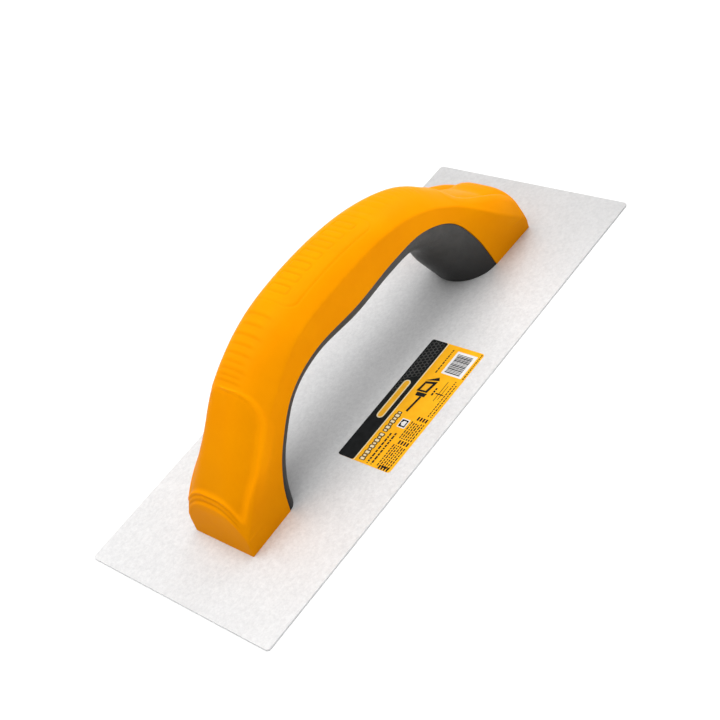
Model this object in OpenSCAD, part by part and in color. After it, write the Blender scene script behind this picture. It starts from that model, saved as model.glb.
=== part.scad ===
// Plastering trowel: a thin steel blade with a closed two-foot bow handle.
// The origin is at the centre of the blade's working face, on its underside.
// X runs along the blade, Y across it, and Z up through the handle.

/* [Blade] */
// Length of the blade
blade_l = 280; // [240:1:320]
// Width of the blade
blade_w = 120; // [110:1:160]
// Thickness of the blade sheet
blade_t = 0.8; // [0.6:0.1:1.2]
// Radius of the blade corners
blade_corner_r = 1.8; // [0.5:0.1:6]

/* [Handle] */
// Distance of the handle's middle from the blade's middle, along X
handle_shift = 3; // [-6:0.5:6]
// Wall thickness of both handle mouldings
wall = 2.6; // [2:0.1:3.2]
// Distance from the handle's middle to the flat end facet, at the blade
facet_x = 109; // [106:0.5:112]
// Lean of the near end facet from vertical, in degrees
near_facet_lean = 8.5; // [4:0.5:12]
// Lean of the far end facet from vertical, in degrees
far_facet_lean = 3; // [2:0.5:10]

/* [Label] */
// Length of the label, along X
label_l = 75; // [60:1:80]
// Width of the label, along Y
label_w = 32; // [24:1:36]
// Thickness of the label
label_t = 0.15; // [0.1:0.05:0.3]
// Distance of the label's middle from the blade's middle, along X
label_x = -6.2; // [-12:0.1:6]
// Distance of the label's middle from the blade's middle, across
label_y = -34.3; // [-38:0.1:-34]

/* [Screws] */
// Distance from the handle's middle to the outer pair of screws
outer_screw_x = 96; // [94:0.5:98]
// Half the spacing across of the outer pair of screws
outer_screw_y = 9; // [7.5:0.5:10]
// Diameter of an outer screw's head
outer_head_d = 7.6; // [7:0.1:8]
// Diameter of an outer screw's shank
outer_shank_d = 3.5; // [3:0.1:3.6]
// Length of an outer screw, head included
outer_screw_l = 13; // [11:0.5:14]
// Distance from the handle's middle to the near heel screw
near_heel_x = 77.2; // [77:0.1:77.4]
// Distance from the handle's middle to the far heel screw
far_heel_x = 74; // [73:0.5:75]
// Diameter of a heel screw's head
heel_head_d = 5.6; // [5:0.1:5.8]
// Diameter of a heel screw's shank
heel_shank_d = 2.9; // [2.5:0.1:2.9]
// Length of a heel screw, head included
heel_screw_l = 10; // [9:0.5:10.5]

/* [Hidden] */

// Spacing that keeps boolean tools clear of the faces they cut
eps = 1;
// Divisions of a round feature
round_fn = 48;

// Key sections of the handle, from the near foot over the bow to the far foot.
// Each row: [x, z, tilt, side, rise, half_w, edge_w, crown, belly]
//   x, z    the parting line between shell and insert, z above the blade
//   tilt    direction of the section, in degrees from +X towards +Z
//   side    height of the flat side face
//   rise    height of the crown's ridge
//   half_w  half the width at the parting line
//   edge_w  half the width at the crown's edge
//   crown   power of the crown's curve, 2 for a parabola and more for a flatter top
//   belly   depth of the insert's rounded belly
key_sections = [
    [-82, 0, 180, 32, 38, 18.8, 19.8, 5.2, 10],
    [-77.8, 14, 170, 22, 29.4, 18.7, 20.4, 5, 10],
    [-68.4, 29, 152, 12, 24.6, 18.4, 18.4, 3.6, 9.5],
    [-51, 45, 130, 9, 23, 18, 17.6, 3, 9.5],
    [-29, 51.5, 108, 13, 24, 17.8, 17.4, 2.6, 10],
    [0, 50.5, 90, 16, 25.4, 18, 17.5, 3, 11],
    [28, 51.2, 72, 14, 20.8, 17.5, 17.3, 3, 12],
    [50, 49, 50, 9.2, 17.8, 17.3, 16.3, 2.2, 14],
    [67.5, 39, 28, 8.5, 15, 17.8, 17.2, 2.3, 17.5],
    [76.5, 21.5, 10, 15.5, 29.6, 18.8, 23.4, 4.2, 21],
    [81.5, 0, 0, 32, 46, 18.8, 19.6, 4, 17.8]
];
// Steps of the loft between two key sections
steps = 5;
// Steps across the crown and across the belly
crown_steps = 14;
belly_steps = 12;

// Bosses inside the feet that take the screws
outer_boss_d = 9.6;
outer_boss_h = 17;
heel_boss_d = 8;
heel_boss_h = 13;
bore_clearance = 0.1;
bore_past_tip = 1;
// Ribs that tie the bosses to the walls
rib_t = 1.8;
rib_h = 15;
// Snap pegs of the insert and the sockets that hold them
peg_d = 4;
socket_d = 8;
peg_x = [-30, 0, 30];
peg_gap = 0.1;
peg_reach = 9;
peg_root = 20;
socket_bottom = 1;

// Pressed countersinks of the blade
head_side_gap = 0.2;
hole_gap = 0.5;
recess_gap = 0.15;
// Head, shank and length of each kind of screw
outer_size = [outer_head_d, outer_shank_d, outer_screw_l];
heel_size = [heel_head_d, heel_shank_d, heel_screw_l];

// Screws at the outer end of each foot, which hold the shell, left before right
outer_places = [for (side = [-1, 1], y = [outer_screw_y, -outer_screw_y]) [side * outer_screw_x, y]];
// Screws in each heel, which hold the insert
heel_places = [[-near_heel_x, 0], [far_heel_x, 0]];

function last(list) = len(list) - 1;

// Depth of the pressed countersink that takes a screw of this size
function dimple_depth(size) = (size[0] - size[1]) / 2 + 0.05;

// Row i of the key sections, with the end rows repeated past the ends
function key_row(i) = key_sections[max(0, min(last(key_sections), i))];

// Smooth curve through four neighbouring rows, u from 0 to 1 between the middle two
function blend(a, b, c, d, u) =
    b + u * (c - a) / 2
    + u * u * (a - 2.5 * b + 2 * c - d / 2)
    + u * u * u * (1.5 * (b - c) + (d - a) / 2);

// Section at a fraction u of the way from key row i to the next
function section_at(i, u) = blend(key_row(i - 1), key_row(i), key_row(i + 1), key_row(i + 2), u);

// A row brought down past the blade's top face
function lowered(row) = [for (k = [0 : 8]) k == 1 ? -eps : row[k]];

// Every section of the outer form
sections = [
    for (i = [0 : last(key_sections) - 1], k = [0 : steps - 1])
        section_at(i, k / steps),
    key_row(last(key_sections))
];
// Sections of the cavities, halfway between those of the outer form
inner_sections = [
    lowered(key_row(0)),
    for (i = [0 : last(key_sections) - 1], k = [0 : steps - 1])
        section_at(i, (k + 0.5) / steps),
    lowered(key_row(last(key_sections)))
];

// Point of a section, a along its direction and b across the handle
function section_point(row, a, b) = [
    row[0] + a * cos(row[2]),
    b,
    row[1] + a * sin(row[2])
];

// Crown outline of a section, drawn in by inset and carried past the parting line by overlap
function crown_outline(row, inset, overlap) = let (
    half_w = row[5] - inset,
    edge_w = row[6] - inset,
    rise = row[4] - inset,
    side = row[3] * rise / row[4]
) [
    section_point(row, -overlap, -half_w),
    for (k = [0 : crown_steps]) let (c = sin(180 * k / crown_steps - 90))
        section_point(row, side + (rise - side) * (1 - pow(abs(c), row[7])), c * edge_w),
    section_point(row, -overlap, half_w)
];

// Belly outline of a section, below the parting line
function belly_outline(row, inset, overlap) = let (
    half_w = row[5] - inset,
    depth = row[8] - inset
) concat(
    [for (k = [0 : belly_steps]) let (angle = 180 * k / belly_steps)
        section_point(row, -depth * sin(angle), half_w * cos(angle))],
    overlap > 0 ? [section_point(row, overlap, -half_w), section_point(row, overlap, half_w)] : []
);

// Solid through a list of outlines that have equal numbers of points
module loft(outlines) {
    n = len(outlines[0]);
    m = len(outlines);
    points = [for (outline = outlines, p = outline) p];
    sides = [
        for (i = [0 : m - 2], k = [0 : n - 1]) let (j = (k + 1) % n)
            each [
                [i * n + k, i * n + j, (i + 1) * n + j],
                [i * n + k, (i + 1) * n + j, (i + 1) * n + k]
            ]
    ];
    first_cap = [for (k = [n - 1 : -1 : 0]) k];
    last_cap = [for (k = [0 : n - 1]) (m - 1) * n + k];
    polyhedron(points, concat(sides, [first_cap, last_cap]), convexity = 8);
}

// Upright block that ends at the leaning end facets, drawn in by inset
module between_facets(inset) {
    height = 100;
    half_base = facet_x - inset;
    near_slope = tan(near_facet_lean);
    far_slope = tan(far_facet_lean);
    rotate([90, 0, 0])
        linear_extrude(height = 2 * height, center = true)
            polygon([
                [-half_base - eps * near_slope, -eps],
                [half_base + eps * far_slope, -eps],
                [half_base - height * far_slope, height],
                [-half_base + height * near_slope, height]
            ]);
}

// Space inside both mouldings, above the parting line
module shell_cavity() {
    intersection() {
        loft([for (row = inner_sections) crown_outline(row, wall, eps)]);
        between_facets(wall);
    }
}

// Space inside the insert, below the parting line
module insert_cavity() {
    loft([for (row = inner_sections) belly_outline(row, wall, eps)]);
}

// Screw boss that stands on the blade
module boss(place, d, h) {
    translate([place[0], place[1], 0])
        cylinder(d = d, h = h, $fn = round_fn);
}

// Space that a screw and its pressed countersink take out of a foot
module screw_space(place, size) {
    around = blade_t + recess_gap;
    translate([place[0], place[1], -eps]) {
        cylinder(d = size[1] + bore_clearance, h = size[2] + bore_past_tip + eps, $fn = round_fn);
        cylinder(
            d1 = size[0] + 2 * (around + eps),
            d2 = size[1] + hole_gap + 2 * around - 1,
            h = dimple_depth(size) + recess_gap + eps,
            $fn = round_fn
        );
    }
}

// Places a handle part on the blade
module on_blade() {
    translate([handle_shift, 0, blade_t])
        children();
}

module blade() {
    color([0.86, 0.86, 0.87])
        difference() {
            union() {
                translate([-blade_l / 2, -blade_w / 2, 0])
                    blade_sheet();
                for (place = outer_places)
                    dimple(place, outer_size);
                for (place = heel_places)
                    dimple(place, heel_size);
            }
            for (place = outer_places)
                countersink(place, outer_size);
            for (place = heel_places)
                countersink(place, heel_size);
        }
}

// Flat sheet with rounded corners, its corner at the origin
module blade_sheet() {
    linear_extrude(height = blade_t)
        difference() {
            square([blade_l, blade_w]);
            for (cx = [0, 1], cy = [0, 1])
                translate([cx * blade_l, cy * blade_w])
                    corner_trim(1 - 2 * cx, 1 - 2 * cy);
        }
}

// Material outside a rounded corner, which opens towards the two signs
module corner_trim(sign_x, sign_y) {
    scale([sign_x, sign_y])
        difference() {
            translate([-eps, -eps])
                square(blade_corner_r + eps);
            translate([blade_corner_r, blade_corner_r])
                circle(r = blade_corner_r, $fn = round_fn);
        }
}

// Raised side of one pressed countersink
module dimple(place, size) {
    translate([place[0] + handle_shift, place[1], 0])
        cylinder(
            d1 = size[0] + 2 * blade_t,
            d2 = size[1] + hole_gap + 2 * blade_t,
            h = dimple_depth(size) + blade_t,
            $fn = round_fn
        );
}

// Cone and hole of one countersink
module countersink(place, size) {
    mouth_d = size[0] + head_side_gap;
    hole_d = size[1] + hole_gap;
    depth = dimple_depth(size);
    translate([place[0] + handle_shift, place[1], 0]) {
        cylinder(d1 = mouth_d, d2 = hole_d, h = depth, $fn = round_fn);
        translate([0, 0, -eps])
            cylinder(d = hole_d, h = depth + blade_t + 2 * eps, $fn = round_fn);
        translate([0, 0, -eps])
            cylinder(d = mouth_d, h = eps, $fn = round_fn);
    }
}

module handle_shell() {
    color([1, 0.65, 0.02])
        on_blade()
            difference() {
                union() {
                    difference() {
                        shell_body();
                        shell_cavity();
                    }
                    intersection() {
                        shell_cavity();
                        shell_stiffeners();
                    }
                }
                for (place = outer_places)
                    screw_space(place, outer_size);
                for (x = peg_x)
                    translate([x, 0, 0])
                        cylinder(d = peg_d + 2 * peg_gap, h = parting_z(x) + peg_reach + eps, $fn = round_fn);
            }
}

// Outer form of the shell
module shell_body() {
    intersection() {
        loft([for (row = sections) crown_outline(row, 0, 0)]);
        between_facets(0);
    }
}

// Bosses, ribs and peg sockets inside the shell
module shell_stiffeners() {
    for (place = outer_places)
        boss(place, outer_boss_d, outer_boss_h);
    for (side = [-1, 1]) {
        translate([side * outer_screw_x - rib_t / 2, -outer_screw_y * 3, 0])
            cube([rib_t, outer_screw_y * 6, rib_h]);
        for (y = [-outer_screw_y, outer_screw_y])
            translate([side * outer_screw_x - (side < 0 ? 20 : 0), y - rib_t / 2, 0])
                cube([20, rib_t, rib_h]);
    }
    for (x = peg_x)
        translate([x, 0, parting_z(x) + socket_bottom])
            cylinder(d = socket_d, h = 40, $fn = round_fn);
}

// Height of the parting line near the middle of the bow
function parting_z(x) = lookup(x, [for (row = sections) if (abs(row[0]) < 60) [row[0], row[1]]]);

module grip_insert() {
    color([0.2, 0.2, 0.21])
        on_blade()
            difference() {
                union() {
                    difference() {
                        loft([for (row = sections) belly_outline(row, 0, 0)]);
                        insert_cavity();
                    }
                    intersection() {
                        loft([for (row = sections) belly_outline(row, 0, 0)]);
                        union() {
                            for (place = heel_places)
                                heel_block(place);
                            for (x = peg_x)
                                translate([x, 0, parting_z(x) - peg_root])
                                    cylinder(d = peg_d, h = peg_root, $fn = round_fn);
                        }
                    }
                    for (x = peg_x)
                        translate([x, 0, parting_z(x) - peg_reach / 2])
                            cylinder(d = peg_d, h = 1.5 * peg_reach, $fn = round_fn);
                }
                for (place = heel_places)
                    screw_space(place, heel_size);
            }
}

// Boss and cross rib in the insert's heel, which take the heel screw
module heel_block(place) {
    boss(place, heel_boss_d, heel_boss_h);
    translate([place[0] - rib_t / 2, -outer_screw_y * 3, 0])
        cube([rib_t, outer_screw_y * 6, heel_boss_h - 2]);
}

module label() {
    corner_r = 1.5;
    color([0.95, 0.6, 0.05])
        translate([label_x, label_y, blade_t])
            linear_extrude(height = label_t)
                union() {
                    square([label_l - 2 * corner_r, label_w], center = true);
                    square([label_l, label_w - 2 * corner_r], center = true);
                    for (sx = [-1, 1], sy = [-1, 1])
                        translate([sx * (label_l / 2 - corner_r), sy * (label_w / 2 - corner_r)])
                            circle(r = corner_r, $fn = round_fn);
                }
}

// Countersunk self-tapping screw with a cross recess, head down at the origin
module screw(size) {
    shank_d = size[1];
    head_h = dimple_depth(size) - 0.2;
    tip_h = 3;
    recess_w = 0.9;
    recess_l = size[0] * 0.55;
    recess_h = head_h * 0.65;
    color([0.7, 0.7, 0.72])
        difference() {
            union() {
                cylinder(d1 = size[0], d2 = shank_d, h = head_h, $fn = round_fn);
                cylinder(d = shank_d, h = size[2] - tip_h, $fn = round_fn);
                translate([0, 0, size[2] - tip_h])
                    cylinder(d1 = shank_d, d2 = 0.6, h = tip_h, $fn = round_fn);
            }
            for (turn = [0, 90])
                rotate([0, 0, turn])
                    translate([-recess_l / 2, -recess_w / 2, -eps])
                        cube([recess_l, recess_w, recess_h + eps]);
        }
}

// Screw in its place, its head just inside the blade's underside
module placed_screw(place, size) {
    translate([place[0] + handle_shift, place[1], 0.1])
        screw(size);
}

blade();
handle_shell();
grip_insert();
label();
placed_screw(outer_places[0], outer_size);  // screw_near_left
placed_screw(outer_places[1], outer_size);  // screw_near_right
placed_screw(heel_places[0], heel_size);  // screw_near_heel
placed_screw(outer_places[2], outer_size);  // screw_far_left
placed_screw(outer_places[3], outer_size);  // screw_far_right
placed_screw(heel_places[1], heel_size);  // screw_far_heel
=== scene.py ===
"""Plastering trowel: a satin steel blade, a hollow two-foot bow handle in orange plastic with a dark
grip insert under the bow, a printed label and six countersunk screws.
Shapes are worked out in millimetres, and object_from scales them to metres. The near end is at low x."""
import math

import bpy
import numpy as np
from mathutils import Matrix, Vector


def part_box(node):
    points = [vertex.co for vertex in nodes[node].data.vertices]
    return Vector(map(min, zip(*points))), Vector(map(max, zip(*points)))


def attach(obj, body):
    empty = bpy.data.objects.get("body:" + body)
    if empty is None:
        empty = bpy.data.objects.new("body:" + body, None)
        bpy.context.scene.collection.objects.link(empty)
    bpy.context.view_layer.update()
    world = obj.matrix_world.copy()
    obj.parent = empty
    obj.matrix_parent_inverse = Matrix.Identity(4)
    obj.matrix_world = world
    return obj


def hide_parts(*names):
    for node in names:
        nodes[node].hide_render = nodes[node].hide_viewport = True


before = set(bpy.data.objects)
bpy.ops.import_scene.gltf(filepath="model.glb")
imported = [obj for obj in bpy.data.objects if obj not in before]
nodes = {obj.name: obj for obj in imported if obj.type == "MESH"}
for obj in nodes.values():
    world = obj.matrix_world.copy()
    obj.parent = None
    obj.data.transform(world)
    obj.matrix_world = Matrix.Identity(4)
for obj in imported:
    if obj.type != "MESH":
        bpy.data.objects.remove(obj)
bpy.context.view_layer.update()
scene = bpy.context.scene

MM = 0.001


def box_mm(node):
    """The lowest and the highest corner of a CAD node, in millimetres to a hundredth."""
    return [[round(value / MM, 2) for value in corner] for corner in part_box(node)]


(shell_x0, _, BLADE_T), (shell_x1, _, _) = box_mm("handle_shell")  # it stands on the blade's top
FACET_X = (shell_x1 - shell_x0) / 2  # half the handle's length
SHIFT = (shell_x1 + shell_x0) / 2  # how far the handle lies towards the far end
NEAR_LEAN, FAR_LEAN = (math.tan(math.radians(lean)) for lean in (8.5, 3))  # end facets
WALL = 2.6  # of the shell and the insert
SEAM = 0.3  # gap between the shell and the insert

# Sections of the handle, as in the CAD, from the near foot over the bow to the far foot: the place of
# the section, its tilt in degrees, the height of its side faces and of its crown, its half width at the
# seam and at the crown's edge, how square the crown is, and how deep the insert is.
X, Z, TILT, SIDE, RISE, HALF, EDGE, CROWN, BELLY = range(9)
KEYS = np.array([
    [-82, 0, 180, 32, 38, 18.8, 19.8, 5.2, 10],
    [-77.8, 14, 170, 22, 29.4, 18.7, 20.4, 5, 10],
    [-68.4, 29, 152, 12, 24.6, 18.4, 18.4, 3.6, 9.5],
    [-51, 45, 130, 9, 23, 18, 17.6, 3, 9.5],
    [-29, 51.5, 108, 13, 24, 17.8, 17.4, 2.6, 10],
    [0, 50.5, 90, 16, 25.4, 18, 17.5, 3, 11],
    [28, 51.2, 72, 14, 20.8, 17.5, 17.3, 3, 12],
    [50, 49, 50, 9.2, 17.8, 17.3, 16.3, 2.2, 14],
    [67.5, 39, 28, 8.5, 15, 17.8, 17.2, 2.3, 17.5],
    [76.5, 21.5, 10, 15.5, 29.6, 18.8, 23.4, 4.2, 21],
    [81.5, 0, 0, 32, 46, 18.8, 19.6, 4, 17.8],
], float)
MIDDLE = 5  # the section at mid-bow
LAST = len(KEYS) - 1


# ---------------------------------------------------------------- numbers
def smoothstep(x, a, b):
    """Goes from 0 at a to 1 at b."""
    u = np.clip((x - a) / (b - a), 0, 1)
    return u * u * (3 - 2 * u)


def hill(x, centre, half):
    """A bell of height 1 round the centre."""
    return np.exp(-(((x - centre) / half) ** 2))


def soft_min(a, b, k):
    """The lower of two values, rounded off where they cross."""
    h = np.clip(0.5 + 0.5 * (b - a) / k, 0, 1)
    return b + (a - b) * h - k * h * (1 - h)


def rounded_box(x, y, half_x, half_y, radius):
    """Distance outside a box that has been grown and rounded by the radius."""
    return np.hypot(np.maximum(np.abs(x) - half_x, 0), np.maximum(np.abs(y) - half_y, 0)) - radius


def length_along(x, y):
    """Distance from the first point of a polyline to each of its points."""
    return np.r_[0, np.cumsum(np.hypot(np.diff(x), np.diff(y)))]


def resample(points, count):
    """Points evenly spaced along a polyline, and its length."""
    run = length_along(points[:, 0], points[:, 1])
    at = np.linspace(0, run[-1], count)
    return np.stack([np.interp(at, run, points[:, k]) for k in (0, 1)], 1), run[-1]


def softened(points, sigma, dense=420):
    """A polyline with its corners rounded and its two ends kept."""
    even, length = resample(points, dense)
    step = length / (dense - 1)
    reach = int(3.5 * sigma / step) + 1
    kernel = np.exp(-0.5 * ((np.arange(-reach, reach + 1) * step / sigma) ** 2))
    kernel /= kernel.sum()
    head = 2 * even[0] - even[reach:0:-1]
    tail = 2 * even[-1] - even[-2 : -reach - 2 : -1]
    padded = np.concatenate([head, even, tail])
    return np.stack([np.convolve(padded[:, k], kernel, "valid") for k in (0, 1)], 1)


# ---------------------------------------------------------------- sections of the handle
def section_rows(t):
    """The sections at stations t, by the same smooth curve as the CAD."""
    i = np.clip(np.floor(t).astype(int), 0, LAST - 1)
    u = (t - i)[:, None]
    a, b, c, d = (KEYS[np.clip(i + k, 0, LAST)] for k in (-1, 0, 1, 2))
    return (
        b
        + u * (c - a) / 2
        + u**2 * (a - 2.5 * b + 2 * c - d / 2)
        + u**3 * (1.5 * (b - c) + (d - a) / 2)
    )


def ridge():
    """Stations along the handle, and how far along the ridge of the crown each one lies from mid-bow."""
    stations = np.linspace(0, LAST, 1001)
    rows = section_rows(stations)
    tilt = np.radians(rows[:, TILT])
    x = rows[:, X] + rows[:, RISE] * np.cos(tilt)
    z = rows[:, Z] + rows[:, RISE] * np.sin(tilt)
    run = length_along(x, z)
    return stations, run - np.interp(MIDDLE, stations, run)


def facet_reach(rows):
    """How far each section runs before it meets a leaning end facet."""
    tilt = np.radians(rows[:, TILT])
    c, s = np.cos(tilt), np.sin(tilt)
    near = (FACET_X - NEAR_LEAN * rows[:, Z] + rows[:, X]) / np.maximum(NEAR_LEAN * s - c, 1e-3)
    far = (FACET_X - FAR_LEAN * rows[:, Z] - rows[:, X]) / np.maximum(FAR_LEAN * s + c, 1e-3)
    return np.minimum(near, far)


def facet_distances():
    """Where the ridge of the crown meets the near and the far end facet, as distances from mid-bow."""
    stations = np.linspace(0, LAST, 2001)
    rows = section_rows(stations)
    over = rows[:, RISE] - facet_reach(rows)
    w = np.interp(stations, *ridge())
    near = w[(stations < MIDDLE) & (over > 0)].max()
    far = w[(stations > MIDDLE) & (over > 0)].min()
    return -near, far


def placed(rows, a, b):
    """Points of the sections, a outward and b across, in the row frame and in millimetres."""
    tilt = np.radians(rows[:, TILT])[:, None]
    x = rows[:, [X]] + a * np.cos(tilt) + SHIFT
    z = rows[:, [Z]] + a * np.sin(tilt) + BLADE_T
    return np.stack([x, b, z], -1)


def grid_normals(grid):
    """Unit normals of a grid of points, pointing out of the handle."""
    n = np.cross(np.gradient(grid, axis=0), np.gradient(grid, axis=1))
    return n / (np.linalg.norm(n, axis=2, keepdims=True) + 1e-12)


# ---------------------------------------------------------------- meshes
def object_from(name, points, faces, materials, material_index=None, smooth=True):
    mesh = bpy.data.meshes.new(name)
    mesh.from_pydata((np.asarray(points) * MM).tolist(), [], faces)
    for material in materials:
        mesh.materials.append(material)
    mesh.polygons.foreach_set("use_smooth", [smooth] * len(mesh.polygons))
    if material_index is not None:
        mesh.polygons.foreach_set("material_index", material_index)
    mesh.validate()
    mesh.update()
    ob = bpy.data.objects.new(name, mesh)
    scene.collection.objects.link(ob)
    return ob


def sheet_faces(rows, cols, start, flip):
    i, j = np.meshgrid(np.arange(rows - 1), np.arange(cols - 1), indexing="ij")
    a = (i * cols + j).ravel() + start
    quads = np.stack([a, a + cols, a + cols + 1, a + 1], 1)
    if flip:
        quads = quads[:, ::-1]
    return quads.tolist()


def edge_loop(rows, cols, start):
    """The border of a grid, once round: first row, last column, last row back, first column back."""
    top = [start + j for j in range(cols)]
    right = [start + i * cols + cols - 1 for i in range(1, rows)]
    bottom = [start + (rows - 1) * cols + j for j in range(cols - 2, -1, -1)]
    left = [start + i * cols for i in range(rows - 2, 0, -1)]
    return top + right + bottom + left


def hollow(name, outer, inner, every, material):
    """A closed wall between an outer grid and a coarser inner grid, which has a point for every few steps."""
    rows, cols = outer.shape[:2]
    rows_in, cols_in = inner.shape[:2]
    points = np.concatenate([outer.reshape(-1, 3), inner.reshape(-1, 3)])
    faces = sheet_faces(rows, cols, 0, True)
    faces += sheet_faces(rows_in, cols_in, rows * cols, False)
    border = edge_loop(rows, cols, 0)
    inside = edge_loop(rows_in, cols_in, rows * cols)
    count = len(inside)
    for k in range(count):
        run = [border[(k * every + m) % len(border)] for m in range(every + 1)]
        faces.append([inside[k], inside[(k + 1) % count]] + run[::-1])
    ob = object_from(name, points, faces, [material])
    ob.data.set_sharp_from_angle(angle=math.radians(50))
    return ob


# ---------------------------------------------------------------- handle shell
SHELL_EVERY = 6
SHELL_ROWS = 81 * SHELL_EVERY + 1
SHELL_COLS = 26 * SHELL_EVERY + 1
SHELL_STEP = 0.55  # about one step of the grid across
FACET_BLEND = 1.4  # softening of the edge round each end facet
OUTER_SOFT, INNER_SOFT = 0.5, 0.95  # rounding of the corners of the sections
SKIN = 0.03  # the whole crown lies this far under the plain form

# Moulded detail, in millimetres. Pairs are for the near and the far end.
PAD_START = (72.0, 85.0)  # top of the pad, along the ridge from mid-bow
PAD_GAP = (7.2, 2.0)  # from the end facet to the pad
PAD_DEPTH = (0.35, 3.4)
PAD_SLOPE = (9.0, 12.5)
PAD_ARCH = 20.0
PAD_HALF = 16.8
PAD_SQUARE = 4.4
PAD_LIP = 0.46
GROOVE_DEPTH = (0.34, 0.14)
PANEL_AT = 2.0
BAR_PITCH = 7.6


def crown_grid(t, inset, count, sigma):
    """The side faces and the crown of the sections at stations t, each as count points across."""
    rows = section_rows(t)
    reach = facet_reach(rows) - inset
    half, edge = rows[:, HALF] - inset, rows[:, EDGE] - inset
    rise = rows[:, RISE] - inset
    side = rows[:, SIDE] * rise / rows[:, RISE]
    up = np.linspace(0, 1, 60)[:-1]
    c = np.sin(np.radians(np.linspace(-90, 90, 260)))
    a_all, b_all = np.empty((len(t), count)), np.empty((len(t), count))
    for i in range(len(t)):
        a_side = side[i] * up
        b_side = half[i] + (edge[i] - half[i]) * up
        a_crown = side[i] + (rise[i] - side[i]) * (1 - np.abs(c) ** rows[i, CROWN])
        a = np.r_[a_side, a_crown, a_side[::-1]]
        b = np.r_[-b_side, c * edge[i], b_side[::-1]]
        a = soft_min(a, np.full_like(a, reach[i]), FACET_BLEND)
        line, _ = resample(softened(np.stack([a, b], 1), sigma), count)
        a_all[i], b_all[i] = line[:, 0], line[:, 1]
    return placed(rows, a_all, b_all), rows


def thumb_pads(w, y, above_facet):
    """Scooped pads, round at the top and parallel to the end facet below: their relief and their painted
    light and shade.
    """
    distance, across, near = np.abs(w), np.abs(y), w < 0
    start = np.where(near, *PAD_START)
    half = PAD_HALF + 0.07 * np.clip(distance - 92, 0, 18)
    arch = 1 - np.clip((distance - start) / PAD_ARCH, 0, 1)
    beyond = np.clip((start - distance) / PAD_ARCH, 0, 9)
    # the field is 0 on the pad's outline, so over its slope it is about the distance inside the outline
    field = 1 - (across / half) ** PAD_SQUARE - arch**2 - 4 * beyond
    slope = np.hypot(PAD_SQUARE * (across / half) ** (PAD_SQUARE - 1) / half, 2 * arch / PAD_ARCH + 0.014)
    inside = soft_min(field / slope, above_facet - np.where(near, *PAD_GAP), 2.6)
    # the lip is full round the near pad, apart from the top on the side away from the label
    lip = np.where(near, 1 - 0.85 * smoothstep(y, 1, 8) * smoothstep(distance, 96, 82), 0.2)
    relief = PAD_LIP * lip * (hill(inside, -0.7, 0.7) - smoothstep(inside, 0.0, 1.1))
    relief -= np.where(near, *PAD_DEPTH) * smoothstep(inside, 0.0, np.where(near, *PAD_SLOPE))
    # a painted highlight along the near pad's lip, and painted shade inside the near pad that deepens towards
    # +y; the far pad gets none
    painted_lip_highlight = 0.12 * lip * hill(inside, -0.6, 0.65)
    painted_pad_shade = (0.065 + 0.045 * smoothstep(y, -12, 6)) * smoothstep(inside, 0, 2.5)
    return relief, near * (painted_lip_highlight - painted_pad_shade)


def facet_rims(across, near, above_facet):
    """A raised rim along each end facet, and two grooves between it and the pad."""
    relief = 0.2 * hill(above_facet, 0.9, 0.8)
    strength = np.where(near, 1, 0.4) * smoothstep(across, 18.5, 15.5)
    for at, depth, half in ((2.7, 0.55, 0.65), (5.4, 0.4, 0.6)):
        relief -= strength * depth * hill(above_facet, at, half)
    return relief


def crescents(distance, across, near):
    """Nine crescent grooves between the panel and each pad, closer together towards the pad."""
    relief = np.zeros(across.shape)
    bent = distance - 2.3 * (across / 12) ** 3
    depth = np.where(near, *GROOVE_DEPTH)
    for k in range(9):
        at = 36 + 5.75 * k - 0.208 * k * k
        wide = (8.6, 7.2, 9.0, 7.8)[k % 4]
        ends = smoothstep(across, wide + 1.8, wide - 3.4)
        relief -= depth * ends * (hill(bent, at, 0.65) + 0.5 * hill(bent, at + 1.4, 1.5))
    return relief


def panel(w, across):
    """The outline of a long panel, and seven plain bars in it, each with a groove round it."""
    relief = -0.24 * hill(rounded_box(w - PANEL_AT, across, 25.5, 7.6, 4.4), 0, 0.3)
    for k in range(-3, 4):
        bar = rounded_box(w - PANEL_AT - BAR_PITCH * k, across, 0.9, 5.0, 0.9)
        relief -= 0.34 * hill(bar, 0.35, 0.42)
    return relief


def crown_relief(w, y, facets):
    """Height of the moulded detail over the plain crown, and the painted light and shade on it.
    w runs along the ridge from mid-bow and y across; facets holds facet_distances()."""
    distance, across, near = np.abs(w), np.abs(y), w < 0
    above_facet = np.where(near, *facets) + 2.6 * (across / 12) ** 3.2 - distance
    pads, painted_shading = thumb_pads(w, y, above_facet)
    grooves = facet_rims(across, near, above_facet) + crescents(distance, across, near) + panel(w, across)
    # the grooves get painted shade and the raised rims a painted highlight, added to the pads' painted light
    # and shade
    return pads + grooves - SKIN, painted_shading + 0.2 * grooves


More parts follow.
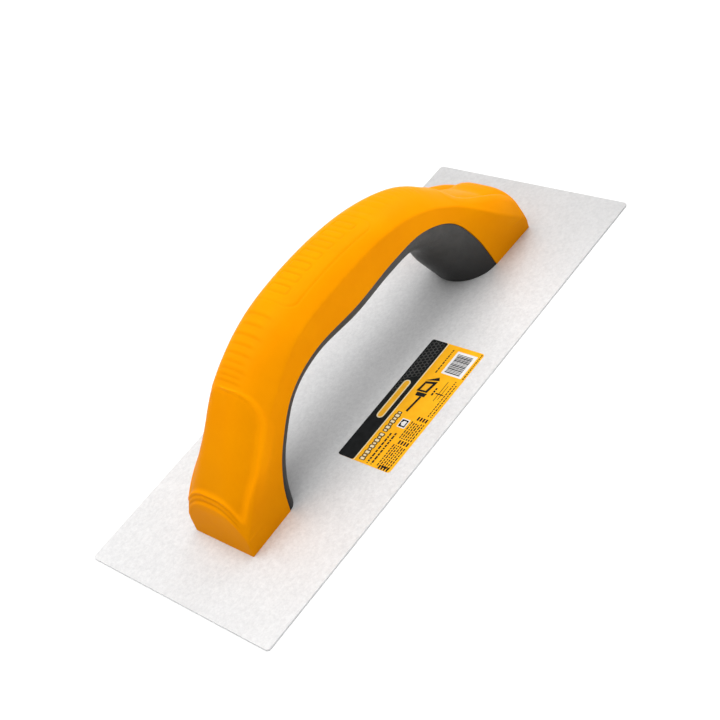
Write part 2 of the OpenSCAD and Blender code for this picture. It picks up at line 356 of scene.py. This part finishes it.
def build_shell(material):
    stations, run = ridge()
    w = np.linspace(run[0], run[-1], SHELL_ROWS)
    t = np.interp(w, run, stations)
    outer, rows = crown_grid(t, 0, SHELL_COLS, OUTER_SOFT)
    y = outer[:, :, 1]
    relief, painted_shading = crown_relief(np.broadcast_to(w[:, None], y.shape), y, facet_distances())
    # detail belongs to the crown, so it fades over the side faces, and the border stays as it is
    j = np.arange(SHELL_COLS)
    from_edge = np.minimum(j, SHELL_COLS - 1 - j)[None, :] * SHELL_STEP
    height = rows[:, [SIDE]]
    on_crown = smoothstep(from_edge, 0.45 * height, 0.9 * height)
    i = np.arange(SHELL_ROWS)
    relief *= on_crown * smoothstep(np.minimum(i, SHELL_ROWS - 1 - i), 2, 8)[:, None]
    painted_shading *= on_crown
    outer += grid_normals(outer) * relief[:, :, None]
    inner, _ = crown_grid(t[::SHELL_EVERY], WALL, SHELL_COLS // SHELL_EVERY + 1, INNER_SOFT)
    # the cavity follows relief that is deeper than 1.2 mm, so the wall stays over 1.4 mm
    sunk = np.minimum(relief[::SHELL_EVERY, ::SHELL_EVERY] + 1.2, 0)
    inner += grid_normals(inner) * sunk[:, :, None]
    ob = hollow("handle_shell_moulding", outer, inner, SHELL_EVERY, material)
    # the crown's painted light and shade goes to the orange material as a point attribute; the cavity gets
    # none
    values = np.r_[painted_shading.ravel(), np.zeros(inner.shape[0] * inner.shape[1])]
    ob.data.attributes.new("painted_light_and_shade", "FLOAT", "POINT").data.foreach_set("value", values)
    return ob


# ---------------------------------------------------------------- grip insert
GRIP_EVERY = 4
GRIP_ROWS = 90 * GRIP_EVERY + 1
GRIP_COLS = 12 * GRIP_EVERY + 1


def belly_grid(t, inset, count):
    """The rounded underside of the sections at stations t, each as count points across."""
    rows = section_rows(t)
    angle = np.linspace(0, np.pi, count)[None, :]
    half = rows[:, [HALF]] - inset - SEAM
    depth = rows[:, [BELLY]] - inset - SEAM
    a = -depth * np.sin(angle) - SEAM * np.abs(np.cos(angle)) ** 8
    return placed(rows, a, half * np.cos(angle))


def build_grip(material):
    stations = np.linspace(0, LAST, 1001)
    rows = section_rows(stations)
    run = length_along(rows[:, X], rows[:, Z])
    t = np.interp(np.linspace(0, run[-1], GRIP_ROWS), run, stations)
    outer = belly_grid(t, 0, GRIP_COLS)
    inner = belly_grid(t[::GRIP_EVERY], WALL, GRIP_COLS // GRIP_EVERY + 1)
    return hollow("grip_insert_moulding", outer, inner, GRIP_EVERY, material)


# ---------------------------------------------------------------- materials
def new_material(name):
    m = bpy.data.materials.new(name)
    m.use_nodes = True
    tree = m.node_tree
    tree.nodes.clear()
    out = tree.nodes.new("ShaderNodeOutputMaterial")
    shader = tree.nodes.new("ShaderNodeBsdfPrincipled")
    tree.links.new(shader.outputs[0], out.inputs[0])
    coords = tree.nodes.new("ShaderNodeTexCoord").outputs["Object"]
    return m, tree, shader, coords


def noise(tree, coords, scale, detail=3.0, rough=0.55):
    n = tree.nodes.new("ShaderNodeTexNoise")
    n.inputs["Scale"].default_value = scale
    n.inputs["Detail"].default_value = detail
    n.inputs["Roughness"].default_value = rough
    tree.links.new(coords, n.inputs["Vector"])
    return n.outputs["Fac"]


def ramp(tree, value, stops):
    """Colours between stops, each a place and a colour."""
    r = tree.nodes.new("ShaderNodeValToRGB")
    for element, (place, colour) in zip(r.color_ramp.elements, stops):
        element.position = place
        element.color = (*colour, 1)
    tree.links.new(value, r.inputs[0])
    return r.outputs[0]


def spread(tree, value, low, high, from_low=0.35, from_high=0.65, interpolation="LINEAR"):
    """A value carried from one range to another."""
    m = tree.nodes.new("ShaderNodeMapRange")
    m.interpolation_type = interpolation
    for key, number in (("From Min", from_low), ("From Max", from_high), ("To Min", low), ("To Max", high)):
        m.inputs[key].default_value = number
    tree.links.new(value, m.inputs["Value"])
    return m.outputs["Result"]


def along(tree, coords, direction, start, end, low, high):
    """A value that goes from low to high between two places along a direction, in metres."""
    dot = tree.nodes.new("ShaderNodeVectorMath")
    dot.operation = "DOT_PRODUCT"
    dot.inputs[1].default_value = direction
    tree.links.new(coords, dot.inputs[0])
    return spread(tree, dot.outputs["Value"], low, high, start, end, "SMOOTHSTEP")


def arithmetic(tree, operation, *values):
    """A maths node whose values are numbers or other nodes' outputs."""
    m = tree.nodes.new("ShaderNodeMath")
    m.operation = operation
    for k, value in enumerate(values):
        if isinstance(value, float):
            m.inputs[k].default_value = value
        else:
            tree.links.new(value, m.inputs[k])
    return m.outputs[0]


def attribute(tree, name):
    a = tree.nodes.new("ShaderNodeAttribute")
    a.attribute_name = name
    return a.outputs["Fac"]


def scaled(tree, colour, value):
    m = tree.nodes.new("ShaderNodeVectorMath")
    m.operation = "SCALE"
    tree.links.new(colour, m.inputs[0])
    tree.links.new(value, m.inputs["Scale"])
    return m.outputs[0]


def bump(tree, shader, height, strength, distance):
    b = tree.nodes.new("ShaderNodeBump")
    b.inputs["Strength"].default_value = strength
    b.inputs["Distance"].default_value = distance
    tree.links.new(height, b.inputs["Height"])
    tree.links.new(b.outputs[0], shader.inputs["Normal"])


def shaded(
    name, low, high, scale, rough, rough_scale, grain, specular=0.5, metallic=0.0, painted_shade=None, painted_shading=None,
):
    """A finish whose colour wanders between two tones, with a fine grain.
    rough: least and most roughness. grain: scale, strength and depth of the bump. What along() takes can
    scale the colour as painted shade, and a point attribute of painted light and shade can add to that
    factor."""
    m, tree, shader, coords = new_material(name)
    colour = ramp(tree, noise(tree, coords, scale, 4.0), [(0.35, low), (0.65, high)])
    if painted_shade:
        factor = along(tree, coords, *painted_shade)
        if painted_shading:
            factor = arithmetic(tree, "ADD", factor, attribute(tree, painted_shading))
        colour = scaled(tree, colour, factor)
    tree.links.new(colour, shader.inputs["Base Color"])
    tree.links.new(spread(tree, noise(tree, coords, rough_scale), *rough), shader.inputs["Roughness"])
    shader.inputs["Metallic"].default_value = metallic
    shader.inputs["Specular IOR Level"].default_value = specular
    grain_scale, strength, depth = grain
    bump(tree, shader, noise(tree, coords, grain_scale, 2.0), strength, depth)
    return m


def blade_material():
    """Satin steel: a fine speck over soft clouds, with painted shade that dims it towards the far end."""
    m, tree, shader, coords = new_material("satin_blade_steel")
    speck = noise(tree, coords, 620, 3.0, 0.7)
    cloud = spread(tree, noise(tree, coords, 22, 3.0, 0.5), 0.16, 0.26, 0.2, 0.8)
    mix = arithmetic(tree, "MULTIPLY_ADD", speck, 0.6, cloud)
    grain = ramp(tree, mix, [(0.38, (0.65, 0.65, 0.655)), (0.62, (0.78, 0.78, 0.782))])
    # painted shade: the steel's colour dims along x towards the far end, where less light falls
    painted_shade = along(tree, coords, (1, 0.25, 0), 0.04, 0.125, 1.0, 0.76)
    tree.links.new(scaled(tree, grain, painted_shade), shader.inputs["Base Color"])
    tree.links.new(spread(tree, speck, 0.48, 0.64), shader.inputs["Roughness"])
    shader.inputs["Metallic"].default_value = 0.2
    bump(tree, shader, noise(tree, coords, 900, 2.0, 0.6), 0.3, 0.00004)
    return m


def orange_material():
    # painted shade: the orange dims towards the bottom of the handle; the crown's painted light and shade is
    # added from the point attribute
    return shaded(
        "orange_plastic", (0.95, 0.314, 0.0), (0.98, 0.336, 0.0), 60,
        rough=(0.38, 0.46), rough_scale=420, grain=(1800, 0.25, 0.00003), specular=0.012,
        painted_shade=((0, 0, 1), 0.0, 0.055, 0.84, 0.99), painted_shading="painted_light_and_shade",
    )


def charcoal_material():
    # painted shade: the insert's colour dims strongly towards the bottom, under the bow
    return shaded(
        "charcoal_plastic", (0.047, 0.046, 0.044), (0.064, 0.062, 0.059), 180,
        rough=(0.42, 0.52), rough_scale=1200, grain=(1400, 0.4, 0.00005), specular=0.35,
        painted_shade=((0, 0, 1), 0.006, 0.044, 0.22, 1.0),
    )


def screw_material():
    return shaded(
        "screw_steel", (0.50, 0.50, 0.51), (0.62, 0.62, 0.63), 400,
        rough=(0.29, 0.39), rough_scale=2800, grain=(3000, 0.2, 0.00001), metallic=0.9,
    )


def ink(name, low, high, scale=300, roughness=0.4, specular=0.5):
    rough = (roughness - 0.05, roughness + 0.05)
    return shaded(name, low, high, scale, rough, 7 * scale, (1500, 0.2, 0.00001), specular)


# ---------------------------------------------------------------- label
# u runs from the label's near end to its far end and v from its inner edge outward, both from 0 to 1.
(LABEL_X, label_y0, _), (label_x1, LABEL_Y, _) = box_mm("label")
LABEL_LENGTH, LABEL_WIDTH = label_x1 - LABEL_X, LABEL_Y - label_y0
# lowest and highest z of each printed layer
FILM, FIRST, SECOND, THIRD = (
    (BLADE_T + low, BLADE_T + high) for low, high in ((0, 0.09), (0.09, 0.11), (0.11, 0.13), (0.13, 0.14))
)


def uv_point(u, v):
    return LABEL_X + LABEL_LENGTH * u, LABEL_Y - LABEL_WIDTH * v


class Print:
    """Flat printed shapes, each a thin plate with its own ink."""

    def __init__(self, inks):
        self.inks, self.points, self.faces, self.index = inks, [], [], []
        self.random = np.random.default_rng(7)

    def plate(self, outline, layer, ink):
        """outline: points in millimetres, (x, y), once round."""
        area = sum(a[0] * b[1] - b[0] * a[1] for a, b in zip(outline, outline[1:] + outline[:1]))
        if area < 0:
            outline = outline[::-1]
        n, start = len(outline), len(self.points)
        self.points += [(x, y, z) for z in layer for x, y in outline]
        self.faces.append(list(range(start + n, start + 2 * n)))
        self.faces.append(list(range(start + n - 1, start - 1, -1)))
        for k in range(n):
            m = (k + 1) % n
            self.faces.append([start + k, start + m, start + n + m, start + n + k])
        self.index += [list(self.inks).index(ink)] * (n + 2)

    def rect(self, u0, v0, u1, v1, layer, ink, radius=0.0, steps=5):
        """A rectangle between two corners, its own corners rounded by a radius in millimetres."""
        (x0, y1), (x1, y0) = uv_point(u0, v0), uv_point(u1, v1)
        if radius <= 0:
            return self.plate([(x0, y0), (x1, y0), (x1, y1), (x0, y1)], layer, ink)
        radius = min(radius, (x1 - x0) / 2, (y1 - y0) / 2)
        left, right, low, high = x0 + radius, x1 - radius, y0 + radius, y1 - radius
        outline = []
        for cx, cy, turn in ((right, low, -90), (right, high, 0), (left, high, 90), (left, low, 180)):
            for k in range(steps + 1):
                angle = math.radians(turn + 90 * k / steps)
                outline.append((cx + radius * math.cos(angle), cy + radius * math.sin(angle)))
        self.plate(outline, layer, ink)

    def shape(self, corners, layer, ink):
        self.plate([uv_point(u, v) for u, v in corners], layer, ink)

    def dashes(self, u0, u1, v, tall, longest):
        """A line of short black dashes in place of small print."""
        gap = 0.006
        u = u0
        while u < u1 - gap:
            wide = min(self.random.uniform(0.35, 1.0) * longest, u1 - u)
            self.rect(u, v - tall / 2, u + wide, v + tall / 2, FIRST, "black")
            u += wide + gap


def print_band(p):
    """A black band with a pale line under it, and a plain pill in place of a name."""
    p.rect(0.0, 0.0, 1.0, 0.305, FIRST, "black", 1.2)
    p.rect(0.0, 0.305, 1.0, 0.322, FIRST, "cream")
    p.rect(0.33, 0.095, 0.655, 0.225, SECOND, "cream", 2.2)
    p.rect(0.338, 0.115, 0.647, 0.205, THIRD, "amber", 1.6)


def print_honeycomb(p):
    """Thin grey rings over the band's far part, cut off along a slant and clear of the pill."""
    pitch, inner, outer = 2.15, 0.98, 1.16
    for row in range(-1, 6):
        for col in range(0, 24):
            x = pitch * (col + 0.5 * (row % 2))
            u, v = 1 - x / LABEL_LENGTH, pitch * 0.866 * row / LABEL_WIDTH
            on_band = 0.02 < v < 0.255 and u < 0.988 and u > 0.50 + 0.9 * v
            if not on_band or (0.31 < u < 0.68 and v > 0.06):
                continue
            cx, cy = uv_point(u, v)
            for k in range(6):
                a, b = math.radians(60 * k + 30), math.radians(60 * k + 90)
                corners = ((inner, a), (outer, a), (outer, b), (inner, b))
                p.plate([(cx + r * math.cos(g), cy + r * math.sin(g)) for r, g in corners], SECOND, "grey")


def print_stripes(p):
    """A white block with plain stripes, and a line of dashes over and under it."""
    p.rect(0.775, 0.555, 0.965, 0.93, FIRST, "white", 0.4)
    u = 0.79
    while u <= 0.945:
        wide = (0.0035, 0.006, 0.0045, 0.008)[int(p.random.integers(4))]
        p.rect(u, 0.595, u + wide, 0.875, SECOND, "black")
        u += wide + (0.0035, 0.005)[int(p.random.integers(2))]
    p.dashes(0.765, 0.965, 0.472, 0.022, 0.022)
    p.dashes(0.775, 0.99, 0.968, 0.02, 0.018)


def print_title(p):
    """Pale dashes with a dark outline, and two lines of small print under them."""
    u, middle = 0.022, 0.43
    for k in range(16):
        if k == 9:
            u += 0.012
        wide = (0.019, 0.015, 0.021, 0.013)[k % 4]
        tall = (0.052, 0.045, 0.052, 0.04)[k % 4]
        p.rect(u - 0.003, middle - tall, u + wide + 0.003, middle + tall, FIRST, "black", 0.5)
        tall -= 0.018
        p.rect(u + 0.001, middle - tall, u + wide - 0.001, middle + tall, SECOND, "cream", 0.3)
        u += wide + 0.0075
    for v in (0.555, 0.63):
        p.rect(0.012, v - 0.01, 0.018, v + 0.01, FIRST, "black")
        p.dashes(0.025, 0.27, v, 0.03, 0.03)


def print_sign(p):
    """A little square sign with a plain house shape."""
    p.rect(0.315, 0.545, 0.385, 0.69, FIRST, "white", 0.3)
    p.rect(0.322, 0.56, 0.378, 0.675, SECOND, "black", 0.3)
    house = [(0.332, 0.655), (0.332, 0.60), (0.35, 0.575), (0.368, 0.60), (0.368, 0.655)]
    p.shape(house, THIRD, "white")


def print_pictogram(p):
    """A plain trowel, with dashes and crossing thin lines under it."""
    p.shape([(0.44, 0.49), (0.435, 0.53), (0.565, 0.565), (0.57, 0.525)], FIRST, "black")
    p.shape([(0.565, 0.44), (0.57, 0.60), (0.60, 0.61), (0.595, 0.43)], FIRST, "black")
    p.shape([(0.60, 0.40), (0.605, 0.59), (0.705, 0.63), (0.685, 0.43)], FIRST, "black")
    p.shape([(0.615, 0.45), (0.618, 0.55), (0.68, 0.575), (0.668, 0.465)], SECOND, "amber")
    p.shape([(0.69, 0.41), (0.74, 0.60), (0.715, 0.64)], FIRST, "black")
    p.dashes(0.60, 0.67, 0.69, 0.03, 0.02)
    p.rect(0.565, 0.78, 0.73, 0.79, FIRST, "black")
    p.rect(0.585, 0.83, 0.70, 0.838, FIRST, "black")
    p.rect(0.62, 0.73, 0.628, 0.87, FIRST, "black")


def print_columns(p):
    """Two columns of small print, three columns of small blocks and two lines at the bottom."""
    for u0, u1 in ((0.02, 0.195), (0.245, 0.385)):
        for k in range(6):
            p.dashes(u0, u1, 0.735 + 0.042 * k, 0.02, 0.026)
    for u0 in (0.003, 0.205, 0.4):
        for k in range(4):
            p.rect(u0, 0.77 + 0.05 * k, u0 + 0.03, 0.80 + 0.05 * k, FIRST, "black", 0.2)
    p.dashes(0.45, 0.75, 0.90, 0.018, 0.02)
    p.dashes(0.45, 0.72, 0.95, 0.018, 0.02)


def build_label(inks):
    p = Print(inks)
    p.rect(0, 0, 1, 1, FILM, "field", 1.5)
    for part in (
        print_band, print_honeycomb, print_stripes, print_title, print_sign, print_pictogram, print_columns,
    ):
        part(p)
    return object_from("printed_label", p.points, p.faces, list(inks.values()), p.index, smooth=False)


# ---------------------------------------------------------------- pieces
def dress(ob, material):
    ob.data.materials.clear()
    ob.data.materials.append(material)


shell = build_shell(orange_material())
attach(shell, "root")
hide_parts("handle_shell")

grip = build_grip(charcoal_material())
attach(grip, "root")
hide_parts("grip_insert")

label = build_label({
    "field": ink("label_orange", (0.93, 0.43, 0.006), (0.98, 0.48, 0.01), 250, 0.45, 0.15),
    "black": ink("label_black", (0.004, 0.005, 0.005), (0.010, 0.011, 0.012), roughness=0.5, specular=0.12),
    "cream": ink("label_cream", (0.80, 0.66, 0.40), (0.88, 0.74, 0.48), specular=0.15),
    "amber": ink("label_amber", (0.86, 0.40, 0.01), (0.92, 0.46, 0.02), specular=0.15),
    "white": ink("label_white", (0.78, 0.78, 0.78), (0.85, 0.85, 0.85)),
    "grey": ink("label_grey", (0.06, 0.06, 0.055), (0.09, 0.09, 0.085)),
})
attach(label, "root")
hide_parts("label")

dress(nodes["blade"], blade_material())
screw_steel = screw_material()
for name, ob in nodes.items():
    if name.startswith("screw_"):
        dress(ob, screw_steel)


# ---------------------------------------------------------------- floor, light and camera
def build_floor(half=3000, z=-0.2):
    """A plain pale sheet just under the blade, in millimetres."""
    material, tree, shader, coords = new_material("floor_paper")
    paper = ramp(tree, noise(tree, coords, 3, 2.0), [(0.3, (0.95, 0.95, 0.95)), (0.7, (0.97, 0.97, 0.97))])
    tree.links.new(paper, shader.inputs["Base Color"])
    shader.inputs["Roughness"].default_value = 0.9
    shader.inputs["Specular IOR Level"].default_value = 0.0
    corners = [(-half, -half, z), (half, -half, z), (half, half, z), (-half, half, z)]
    return object_from("floor", corners, [[0, 1, 2, 3]], [material])


def sky(strength):
    world = bpy.data.worlds.new("studio")
    scene.world = world
    world.use_nodes = True
    background = world.node_tree.nodes["Background"]
    background.inputs["Color"].default_value = (1, 1, 1, 1)
    background.inputs["Strength"].default_value = strength


def area_light(name, place, size, watts, target=(0, 0, 0.03)):
    data = bpy.data.lights.new(name, "AREA")
    data.shape = "DISK"
    data.size = size
    data.energy = watts
    ob = bpy.data.objects.new(name, data)
    ob.location = place
    ob.rotation_euler = (Vector(target) - Vector(place)).to_track_quat("-Z", "Y").to_euler()
    scene.collection.objects.link(ob)


def photo_camera():
    """A camera at the photograph's viewing angle, rolled about its line of sight."""
    target = Vector((0.0075, 0.0104, 0.0008))
    distance = 0.7255
    azimuth, elevation, roll = (math.radians(angle) for angle in (-31.01, 39.53, 28.5))
    flat = math.cos(elevation)
    back = Vector((math.sin(azimuth) * flat, -math.cos(azimuth) * flat, math.sin(elevation)))
    level = Vector((math.cos(azimuth), math.sin(azimuth), 0))
    upright = back.cross(level)
    right = math.cos(roll) * level - math.sin(roll) * upright
    up = math.sin(roll) * level + math.cos(roll) * upright
    data = bpy.data.cameras.new("camera")
    data.lens = 75.66
    data.sensor_width = 36
    camera = bpy.data.objects.new("camera", data)
    turn = Matrix((right, up, back)).transposed().to_4x4()
    camera.matrix_world = Matrix.Translation(target + distance * back) @ turn
    scene.collection.objects.link(camera)
    scene.camera = camera


floor = build_floor()

sky(0.52)
area_light("key", (0, 0.02, 1.1), 1.2, 9.4)
area_light("side", (1.0, 0.1, 0.7), 0.9, 4.7)
area_light("back", (0, 1.0, 0.8), 0.9, 1.0)
scene.view_settings.view_transform = "Standard"
photo_camera()
